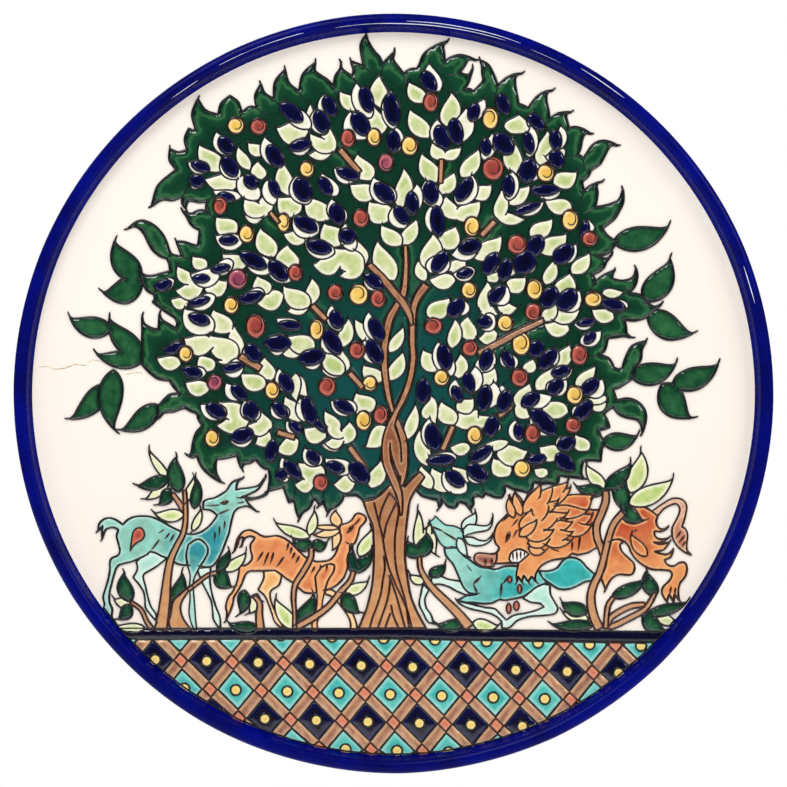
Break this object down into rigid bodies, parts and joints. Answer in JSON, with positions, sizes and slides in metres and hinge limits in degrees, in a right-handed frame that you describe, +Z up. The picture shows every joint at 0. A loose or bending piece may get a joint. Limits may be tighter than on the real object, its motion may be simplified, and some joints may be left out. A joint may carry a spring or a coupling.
{
  "type": "decorative wall plate",
  "caption": "Round glazed ceramic wall plate with a raised lip, a foot ring, and a painted tree of life above animals and a diamond lattice.",
  "frame": {"origin": "centre of the plane on which the foot ring meets the wall", "axes": "+Z up the picture, +X to the right seen from the painted side, +Y from the plate into the wall"},
  "size_m": [0.3048, 0.0222, 0.3048],
  "materials": {
    "fired_clay": "unglazed buff earthenware",
    "white_glaze": "glossy cream-white glaze",
    "rim_blue_glaze": "glossy cobalt glaze",
    "ground_line_glaze": "glossy near-black blue glaze",
    "strap_glaze": "glossy tan glaze",
    "knot_glaze": "glossy pink-orange glaze",
    "cobalt_glaze": "glossy cobalt glaze",
    "turquoise_glaze": "glossy turquoise glaze",
    "yellow_glaze": "glossy yellow glaze",
    "red_glaze": "glossy brick-red glaze",
    "plum_glaze": "glossy plum glaze",
    "trunk_glaze": "glossy brown glaze",
    "dark_green_glaze": "glossy dark green glaze",
    "pale_green_glaze": "glossy pale green glaze",
    "husk_glaze": "glossy white glaze",
    "olive_glaze": "glossy navy glaze",
    "buck_glaze": "glossy blue-green glaze",
    "orange_glaze": "glossy orange glaze",
    "drawn_line": "dark brown drawn line under glaze"
  },
  "bodies": {
    "root": {"branches": "trunk_glaze", "buck_body": "buck_glaze", "buck_far_legs": "buck_glaze", "buck_foreleg": "buck_glaze", "canopy_ground": "dark_green_glaze", "clay_dish": "fired_clay", "cobalt_diamonds": "cobalt_glaze", "diamond_studs": "yellow_glaze", "doe_body": "orange_glaze", "doe_ears": "orange_glaze", "doe_far_legs": "orange_glaze", "doe_foreleg": "orange_glaze", "figure_lines": "drawn_line", "flank_spots": "red_glaze", "foot_ring": "fired_clay", "fruit_stems": "trunk_glaze", "gazelle_body": "buck_glaze", "gazelle_ears": "buck_glaze", "gazelle_far_leg": "buck_glaze", "gazelle_haunch": "buck_glaze", "gazelle_head": "buck_glaze", "gazelle_horns": "buck_glaze", "gazelle_near_leg": "buck_glaze", "ground_line": "ground_line_glaze", "lattice_knots": "knot_glaze", "lattice_straps": "strap_glaze", "left_sapling_leaves": "dark_green_glaze", "left_sapling_pale_leaves": "pale_green_glaze", "left_sapling_stems": "trunk_glaze", "lion_body": "orange_glaze", "lion_hind_leg": "orange_glaze", "lion_mane_locks": "orange_glaze", "lion_muzzle": "orange_glaze", "lion_tail": "orange_glaze", "lion_teeth": "white_glaze", "middle_sapling_leaves": "dark_green_glaze", "middle_sapling_pale_leaves": "pale_green_glaze", "middle_sapling_stems": "trunk_glaze", "olive_husks_left": "husk_glaze", "olive_husks_right": "husk_glaze", "olives_left": "olive_glaze", "olives_right": "olive_glaze", "outer_leaves_left": "dark_green_glaze", "outer_leaves_right": "dark_green_glaze", "pale_leaves_lower_left": "pale_green_glaze", "pale_leaves_lower_right": "pale_green_glaze", "pale_leaves_upper_left": "pale_green_glaze", "pale_leaves_upper_right": "pale_green_glaze", "plum_fruits": "plum_glaze", "red_fruits": "red_glaze", "right_sapling_leaves": "dark_green_glaze", "right_sapling_pale_leaves": "pale_green_glaze", "right_sapling_stems": "trunk_glaze", "rim_glaze": "rim_blue_glaze", "trunk": "trunk_glaze", "trunk_lines": "drawn_line", "trunk_strands": "trunk_glaze", "turquoise_diamonds": "turquoise_glaze", "white_ground_glaze": "white_glaze", "yellow_fruits": "yellow_glaze"}
  },
  "joints": []
}
